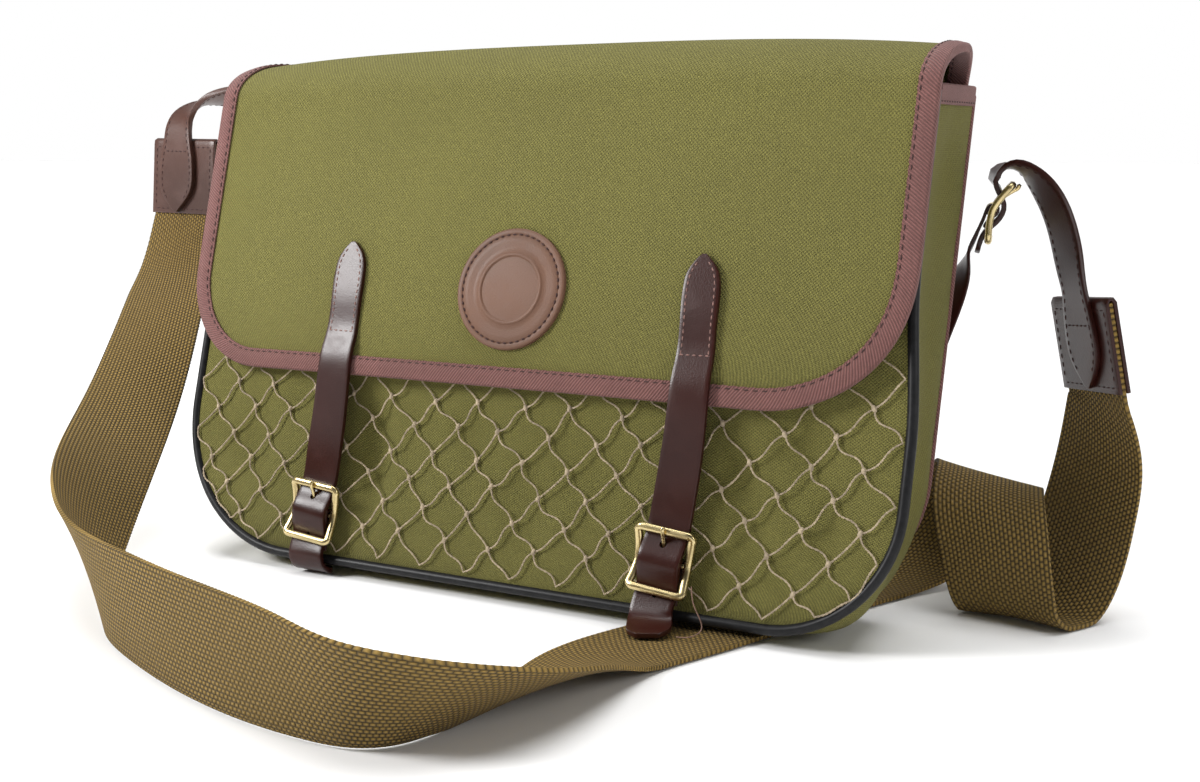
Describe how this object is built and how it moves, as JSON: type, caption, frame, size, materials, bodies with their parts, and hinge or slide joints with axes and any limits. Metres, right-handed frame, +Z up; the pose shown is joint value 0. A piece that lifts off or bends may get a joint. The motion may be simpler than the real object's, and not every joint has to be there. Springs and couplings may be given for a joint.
{
  "type": "game bag",
  "caption": "Canvas hunting game bag with a netted front, a bound flap closed by buckled leather straps, and a webbing shoulder strap, standing and leaning back.",
  "frame": {"origin": "middle of the bag's base, on the ground that the bag stands on", "axes": "+Z up, -Y the way the netted front faces, +X towards the right side as seen from the front"},
  "size_m": [0.6354, 0.3707, 0.2699],
  "materials": {
    "canvas": "matte, olive green, plain weave",
    "tape": "matte, dusty mauve, twill",
    "piping": "satin black",
    "net": "matte, beige, twisted cord",
    "dark_leather": "satin, dark brown",
    "badge_leather": "matte, mid brown",
    "brass": "aged satin",
    "webbing": "coarse ribbed weave, golden brown"
  },
  "bodies": {
    "root": {"front_panel": "canvas", "back_panel": "canvas", "gusset": "canvas", "flap": "canvas", "front_piping": "piping", "back_piping": "tape", "mouth_binding_left": "tape", "mouth_binding_right": "tape", "flap_binding": "tape", "net": "net", "badge": "badge_leather", "closure_strap_left": "dark_leather", "closure_strap_right": "dark_leather", "chape_left": "dark_leather", "chape_right": "dark_leather", "buckle_frame_left": "brass", "buckle_frame_right": "brass", "buckle_frame_side": "brass", "buckle_tongue_left": "brass", "buckle_tongue_right": "brass", "buckle_tongue_side": "brass", "shoulder_strap": "webbing", "end_patch_left": "dark_leather", "end_patch_right": "dark_leather", "end_strap_left": "dark_leather", "end_strap_right": "dark_leather", "base_strap_right": "dark_leather"}
  },
  "joints": []
}
